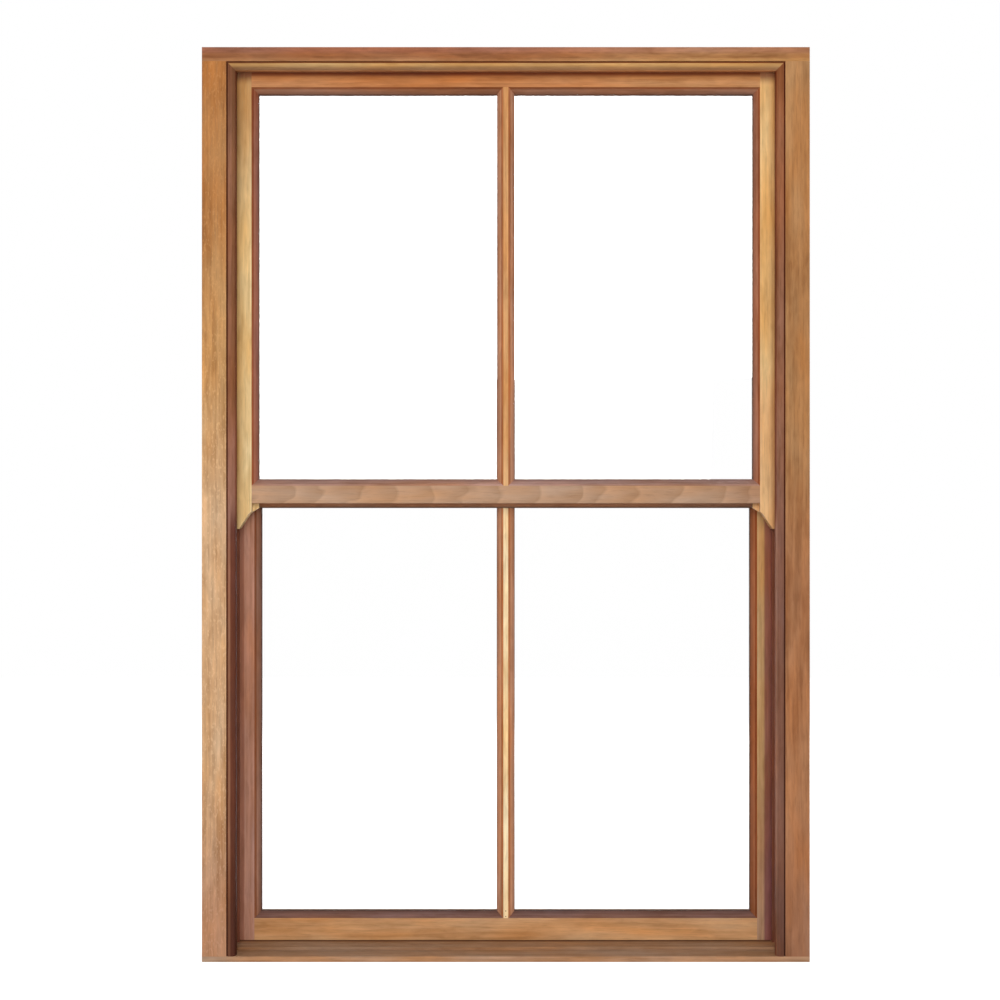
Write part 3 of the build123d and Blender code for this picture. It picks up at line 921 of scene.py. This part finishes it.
    def dress(self) -> None:
        """Give every node of the frame its finish."""
        self.dress_carcase()
        self.dress_beads()
        self.dress_inner_beads()
        paint("balance_bushes", Plastic("bush_nylon", self.bush).make())
        paint("tube_screws", Metal("tube_screw_steel", self.screw, 0.3).make())
        tube = Plastic("tube_plastic", self.tube).make()
        for name in ("upper", "lower"):
            paint(f"{name}_balance_tubes", tube)


@dataclass(frozen=True)
class SashColours:
    """Colours of one sash's timber, piece by piece, as the varnish shows them, with factors for
    painted shade by the glass and a painted highlight on the stiles' arris.
    """

    stile_left: Rgb
    stile_right: Rgb
    top: Rgb
    bottom: Rgb
    bar: Rgb
    left_beads: Rgb
    right_beads: Rgb
    bar_beads: Rgb
    top_beads: Rgb
    bottom_beads: Rgb
    # painted shade on the glazing beads towards the glass and along their sight lines
    bead_shade: Triple = (0.74, 0.74, 0.8)
    sight_shade: Triple = (0.5, 0.55, 0.6)
    bottom_sight_shade: Triple = (0.5, 0.55, 0.6)
    joint_shade: Triple = (0.66, 0.5, 0.36)
    # painted highlight on the stiles' arris
    arris_painted_highlight: Triple = (1.1, 1.14, 1.22)
    # painted shade on the members' faces beside the glass
    edge_shade: Triple = (0.42, 0.42, 0.46)


@dataclass
class Sash:
    """One glazed sash: timber, mitred glazing beads, panes and the pieces of its balances.

    The places and depths are where the shades beside an edge start and end. The steps are added
    to the sash's seed, so that each member has its own figure.
    """

    name: str
    seed: float
    top_rail: str
    bottom_rail: str
    colours: SashColours
    shelter: dict[Side, tuple[Band, ...]]
    top_bands: tuple[Band, ...] = ()
    bottom_bands: tuple[Band, ...] = ()
    bar_bands: tuple[Band, ...] = ()
    rippled: bool = False
    zinc: Rgb = (198, 200, 200)
    rod_zinc: Rgb = (205, 206, 204)
    block: Rgb = (190, 188, 180)
    edge_places: Pair = (0.0006, 0.0002)
    arris_places: Pair = (0.004, 0.0015)
    joint_depths: Pair = (0.0022, 0.0008)
    shade_depths: Pair = (0.003, 0.0105)
    sight_depths: Pair = (0.0105, 0.0125)
    rail_step: int = 2
    bar_step: int = 4
    bead_step: int = 5

    def glass_edge(self, axis: Axis, place: float, away: int) -> Band:
        """Dull edge of a member beside the glass, darkened by painted shade.

        Args:
            axis: the axis across the edge.
            place: where the edge lies on it.
            away: the sign of the direction from the glass into the timber.

        Returns:
            The band.
        """
        start, end = (place + away * distance for distance in self.edge_places)
        return Band(axis, start, end, self.colours.edge_shade, dullness=0.5)

    def stiles(self) -> None:
        """Stiles, with painted shade in the shelter of the frame's beads and a painted highlight on
        the arris.
        """
        tones = {Side.LEFT: self.colours.stile_left, Side.RIGHT: self.colours.stile_right}
        for step, hand in enumerate(Side):
            node = f"{self.name}_stile_{hand.value}"
            outward = -1 if hand is Side.LEFT else 1
            bead_low, bead_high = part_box(f"{self.name}_{hand.value}_bead_{hand.value}")
            joint = bead_low.x if hand is Side.LEFT else bead_high.x
            start, end = (joint + outward * distance for distance in self.arris_places)
            # painted highlight on the arris beside the glazing bead
            arris = Band(Axis.ACROSS, start, end, self.colours.arris_painted_highlight)
            low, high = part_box(node)
            inner = high.x if hand is Side.LEFT else low.x
            bands = (arris, self.glass_edge(Axis.ACROSS, inner, outward), *self.shelter[hand])
            finish = Timber(f"{node}_timber", tones[hand], Axis.HEIGHT, self.seed + step, bands)
            paint(node, finish.make())

    def rails(self) -> None:
        """Rails, the upper meeting rail with a cross figure."""
        rails = ((self.top_rail, self.colours.top), (self.bottom_rail, self.colours.bottom))
        for step, (rail, tone) in enumerate(rails, self.rail_step):
            node = f"{self.name}_{rail}"
            low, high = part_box(node)
            if rail == self.top_rail:
                bands = (self.glass_edge(Axis.HEIGHT, low.z, 1), *self.top_bands)
            else:
                bands = (self.glass_edge(Axis.HEIGHT, high.z, -1), *self.bottom_bands)
            finish = Timber(f"{node}_timber", tone, Axis.ACROSS, self.seed + step, bands)
            if self.rippled and rail == "meeting_rail":
                finish = replace(
                    finish, ripple_weight=0.48, ripple_height=(low.z + high.z) / 2,
                    streak_weight=0.1, tone_weight=0.22, mottle_weight=0.14, ring_weight=0.03,
                    fine_weight=0.1,
                )
            paint(node, finish.make())

    def beads(self) -> None:
        """Glazing beads, with painted shade greying them towards the glass and darkening a dull
        sight line, and a dark joint.
        """
        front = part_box(f"{self.name}_left_bead_left")[0].y
        # painted shade towards the glass and along the sight line, then the dark joint
        shade, sight, joint = (
            Band(Axis.DEPTH, front + depths[0], front + depths[1], factors, dullness=dullness)
            for depths, factors, dullness in (
                (self.shade_depths, self.colours.bead_shade, 0.0),
                (self.sight_depths, self.colours.sight_shade, 0.3),
                (self.joint_depths, self.colours.joint_shade, 0.0),
            )
        )
        tones = {
            "left": (self.colours.left_beads, Axis.HEIGHT),
            "right": (self.colours.right_beads, Axis.HEIGHT),
            "bar": (self.colours.bar_beads, Axis.HEIGHT),
            "top": (self.colours.top_beads, Axis.ACROSS),
            "bottom": (self.colours.bottom_beads, Axis.ACROSS),
        }
        made = {}
        for step, (kind, (tone, grain)) in enumerate(tones.items(), self.bead_step):
            name = f"{self.name}_{kind}_bead_timber"
            bands = (shade, sight, joint)
            if kind == "bottom":
                bands = (shade, replace(sight, factors=self.colours.bottom_sight_shade))
            finish = Timber(name, tone, grain, self.seed + step, bands, gloss=0.12, coat=0.02)
            made[kind] = finish.make()
        for hand in Side:
            for place in ("left", "right"):
                kind = place if place == hand.value else "bar"
                paint(f"{self.name}_{hand.value}_bead_{place}", made[kind])
            for place in ("top", "bottom"):
                paint(f"{self.name}_{hand.value}_bead_{place}", made[place])

    def glazing(self) -> None:
        """Panes and the blocks that they stand on."""
        glass = Glass(f"{self.name}_glass").make()
        for hand in Side:
            paint(f"{self.name}_pane_{hand.value}", glass)
        nylon = Plastic(f"{self.name}_block_nylon", self.block).make()
        paint(f"{self.name}_setting_blocks", nylon)

    def balances(self) -> None:
        """Brackets with their screws, and the twisted strips in place of the plain rods."""
        zinc = Metal(f"{self.name}_bracket_zinc", self.zinc, 0.32).make()
        for part in ("balance_brackets", "bracket_screws"):
            paint(f"{self.name}_{part}", zinc)
        name = self.name
        rods = SpiralRods(f"{name}_spiral_rods", f"{name}_sash", f"{name}_balance_rods")
        rods.build(Metal(f"{name}_rod_zinc", self.rod_zinc, 0.28))

    def dress(self) -> None:
        """Give every node of the sash its finish."""
        self.stiles()
        self.rails()
        seed = self.seed + self.bar_step
        node = f"{self.name}_bar"
        finish = Timber(f"{node}_timber", self.colours.bar, Axis.HEIGHT, seed, self.bar_bands)
        paint(node, finish.make())
        self.beads()
        self.glazing()
        self.balances()


@dataclass
class Lifts:
    """The two brass hook lifts of the lower sash, with their screws."""

    colour: Rgb = (214, 176, 98)
    roughness: float = 0.22

    def dress(self) -> None:
        """Give the lifts and their screws lacquered brass."""
        brass = Metal("lift_brass", self.colour, self.roughness).make()
        for node in ("sash_lift_left", "sash_lift_right", "lift_screws"):
            paint(node, brass)


@dataclass
class Pins:
    """Two punched pins at the foot of the lower bar, seen from outside."""

    radius: float = 0.0009
    proud: float = 0.0001
    heights: Pair = (0.0641, 0.0733)
    colour: Rgb = (120, 96, 74)
    points_around: int = 16
    dome_rise: tuple[float, ...] = (-1.0, 0.0, 0.6, 1.0)
    dome_reach: tuple[float, ...] = (1.0, 1.0, 0.75, 0.3)

    def build(self) -> None:
        """Build each pin as a shallow dome: rings that shrink as they rise from the timber."""
        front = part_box("lower_bar")[0].y
        around = full_turn(self.points_around)
        rise = np.array(self.dome_rise)[:, None] * self.proud
        reach = np.array(self.dome_reach)[:, None] * self.radius
        points: list[Points] = []
        faces: Faces = []
        for place, height in enumerate(self.heights):
            across = reach * np.cos(around)
            up = height + reach * np.sin(around)
            dome = as_points(across, front - rise, up)
            points.append(dome)
            faces += tube_faces(self.points_around, len(self.dome_rise), place * len(dome))
        corners = np.concatenate(points)
        piece = new_piece("bar_foot_pins", corners, faces, "lower_sash")
        piece.data.materials.append(Metal("pin_steel", self.colour, 0.5).make())
        LOG.info("bar_foot_pins: %d pins", len(self.heights))


@dataclass(frozen=True)
class Lamp:
    """A square soft lamp: its place and size in metres and its power in watts."""

    name: str
    place: Triple
    size: float
    power: float


@dataclass
class Studio:
    """Camera, pale floor, white surroundings and soft lamps."""

    camera_place: Triple = (-0.0096, -4.4995, 0.760)
    lens: float = 97.0
    sky_strength: float = 0.3
    floor_size: float = 14.0
    floor_glow: float = 0.8
    floor_shade: float = 0.82
    floor_gap: float = 0.0004
    aim: Triple = (0.0, 0.0, 0.75)
    front_lamp: Lamp = Lamp("front_lamp", (-0.2, -4.3, 1.7), 1.8, 135.0)
    back_lamp: Lamp = Lamp("back_lamp", (0.8, 4.0, 2.2), 2.2, 90.0)

    def white_or(
        self, tree: bpy.types.NodeTree, lit: bpy.types.Node, white: bpy.types.Node
    ) -> Socket:
        """Show the camera, reflections and glass the white shader, and the rest the lit one.

        Args:
            tree: the node tree.
            lit: the shader that gives light.
            white: the shader that is seen.

        Returns:
            The shader that chooses between them.
        """
        path = tree.nodes.new("ShaderNodeLightPath")
        seen = path.outputs["Is Camera Ray"]
        for ray in ("Is Glossy Ray", "Is Transmission Ray"):
            either = tree.nodes.new("ShaderNodeMath")
            either.operation = "MAXIMUM"
            tree.links.new(seen, either.inputs[0])
            tree.links.new(path.outputs[ray], either.inputs[1])
            seen = either.outputs[0]
        choice = tree.nodes.new("ShaderNodeMixShader")
        tree.links.new(seen, choice.inputs[0])
        tree.links.new(lit.outputs[0], choice.inputs[1])
        tree.links.new(white.outputs[0], choice.inputs[2])
        return choice.outputs[0]

    def surroundings(self) -> None:
        """White world to the eye, at a plain level as light."""
        world = bpy.data.worlds.new("studio_world")
        bpy.context.scene.world = world
        world.use_nodes = True
        tree = world.node_tree
        tree.nodes.clear()
        lit, white = (tree.nodes.new("ShaderNodeBackground") for _ in range(2))
        for shader, strength in ((lit, self.sky_strength), (white, 1.0)):
            shader.inputs["Color"].default_value = (1, 1, 1, 1)
            shader.inputs["Strength"].default_value = strength
        output = tree.nodes.new("ShaderNodeOutputWorld")
        tree.links.new(self.white_or(tree, lit, white), output.inputs["Surface"])

    def floor(self) -> None:
        """Pale floor just under the sill, white to the eye except in the window's shadow."""
        half = self.floor_size / 2
        corners = np.array([(-half, -half), (half, -half), (half, half), (-half, half)])
        points = np.column_stack([corners, np.full(len(corners), -self.floor_gap)])
        mesh = bpy.data.meshes.new("floor")
        mesh.from_pydata(points.tolist(), [], [(0, 1, 2, 3)])
        ground = put("floor", mesh)
        material = bpy.data.materials.new("floor_paint")
        material.use_nodes = True
        tree = material.node_tree
        tree.nodes.clear()
        matt = tree.nodes.new("ShaderNodeBsdfDiffuse")
        matt.inputs["Color"].default_value = (*[self.floor_shade] * 3, 1)
        glow = tree.nodes.new("ShaderNodeEmission")
        glow.inputs["Strength"].default_value = self.floor_glow
        both = tree.nodes.new("ShaderNodeAddShader")
        tree.links.new(matt.outputs[0], both.inputs[0])
        tree.links.new(glow.outputs[0], both.inputs[1])
        output = tree.nodes.new("ShaderNodeOutputMaterial")
        tree.links.new(self.white_or(tree, matt, both), output.inputs["Surface"])
        mesh.materials.append(material)

    def hang(self, lamp: Lamp) -> None:
        """Face a lamp to the middle of the window, and keep its image out of the glass.

        Args:
            lamp: the lamp.
        """
        light = bpy.data.lights.new(lamp.name, "AREA")
        light.size = lamp.size
        light.energy = lamp.power
        holder = put(lamp.name, light)
        holder.location = lamp.place
        holder.visible_glossy = False
        towards = np.array(self.aim) - np.array(lamp.place)
        tilt = math.atan2(math.hypot(towards[0], towards[1]), -towards[2])
        holder.rotation_euler = (tilt, 0, math.atan2(-towards[0], towards[1]))

    def camera(self) -> None:
        """Camera square to the window, at the distance that the depths in the view give."""
        data = bpy.data.cameras.new("view")
        data.lens = self.lens
        holder = put("view", data)
        holder.location = self.camera_place
        holder.rotation_euler = (math.pi / 2, 0, 0)
        bpy.context.scene.camera = holder

    def build(self) -> None:
        """Set up everything round the window."""
        bpy.context.scene.view_settings.view_transform = "Standard"
        self.camera()
        self.surroundings()
        self.floor()
        self.hang(self.front_lamp)
        self.hang(self.back_lamp)
        LOG.info("studio: camera, floor and lamps")


def upper_sash() -> Sash:
    """The upper sash, with painted shade under the head and beside the frame's beads, and the cross
    figure on its meeting rail.

    Returns:
        The sash with its colours and bands.
    """
    up, across = Axis.HEIGHT, Axis.ACROSS
    colours = SashColours(
        stile_left=(215, 191, 144), stile_right=(207, 172, 120), top=(183, 127, 83),
        bottom=(172, 141, 117), bar=(204, 156, 107), left_beads=(168, 111, 93),
        right_beads=(173, 117, 92), bar_beads=(196, 144, 114), top_beads=(153, 107, 82),
        bottom_beads=(165, 130, 119), bottom_sight_shade=(1.0, 1.0, 1.0),
    )
    # painted shadow cast by the head bead on the tops of the stiles
    head_painted_shadow = Band(up, 1.444, 1.463, (0.28, 0.17, 0.17))
    # painted shade on the stiles beside the frame's outer beads
    left_recess_painted_shade = Band(across, -0.427, -0.4485, (0.45, 0.37, 0.25))
    # painted shade on the upper part of the left stile, below the head
    left_upper_painted_shade = Band(up, 1.15, 1.42, (0.70, 0.55, 0.44))
    right_recess_painted_shade = Band(across, 0.430, 0.452, (0.38, 0.25, 0.18))
    right_foot = Band(up, 1.00, 0.90, (0.91, 0.83, 0.86))
    top_pale = Band(across, 0.1, 0.25, (1.0, 1.12, 1.2))
    head_shade = Band(up, 1.449, 1.456, (0.82, 0.76, 0.66))
    # painted shadow cast by the head bead on the top rail
    under_head_painted_shadow = Band(up, 1.4555, 1.4640, (0.28, 0.14, 0.05))
    meeting_dark = Band(across, 0.33, 0.42, (0.85, 0.8, 0.78))
    bar_head = Band(up, 1.2, 1.42, (0.86, 0.82, 0.76))
    bar_foot = Band(up, 1.06, 0.93, (1.08, 1.22, 1.4))
    return Sash(
        "upper", 20.0, "top_rail", "meeting_rail", colours,
        shelter={
            Side.LEFT: (left_recess_painted_shade, left_upper_painted_shade, head_painted_shadow),
            Side.RIGHT: (right_recess_painted_shade, right_foot, head_painted_shadow),
        },
        top_bands=(top_pale, head_shade, under_head_painted_shadow),
        bottom_bands=(meeting_dark,),
        bar_bands=(bar_head, bar_foot),
        rippled=True,
    )


def lower_sash() -> Sash:
    """The lower sash, redder, with painted shade beside the frame's beads and under the meeting
    rail.

    Returns:
        The sash with its colours and bands.
    """
    up, across = Axis.HEIGHT, Axis.ACROSS
    colours = SashColours(
        stile_left=(161, 120, 104), stile_right=(175, 143, 102), top=(150, 105, 75),
        bottom=(189, 148, 108), bar=(246, 228, 190), left_beads=(149, 105, 84),
        right_beads=(160, 99, 65), bar_beads=(208, 152, 118), top_beads=(126, 84, 66),
        bottom_beads=(127, 95, 88),
    )
    # painted shade on the stiles beside the frame's outer beads
    left_recess_painted_shade = Band(across, -0.4360, -0.4378, (0.76, 0.63, 0.58))
    right_foot = Band(up, 0.35, 0.12, (0.8, 0.76, 1.0))
    right_slope_painted_shade = Band(across, 0.4295, 0.4345, (0.55, 0.35, 0.5))
    right_recess_painted_shade = Band(across, 0.436, 0.447, (0.58, 0.4, 0.5))
    lip_shade = Band(up, 0.7515, 0.7475, (0.46, 0.55, 0.66))
    return Sash(
        "lower", 40.0, "meeting_rail", "bottom_rail", colours,
        shelter={
            Side.LEFT: (left_recess_painted_shade,),
            Side.RIGHT: (right_foot, right_slope_painted_shade, right_recess_painted_shade),
        },
        top_bands=(lip_shade,),
    )


def main() -> None:
    """Build the studio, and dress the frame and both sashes."""
    logging.basicConfig(level=logging.INFO, format="%(message)s")
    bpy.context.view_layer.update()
    Studio().build()
    FixedFrame().dress()
    upper_sash().dress()
    lower_sash().dress()
    Lifts().dress()
    Pins().build()


if __name__ == "__main__":
    main()
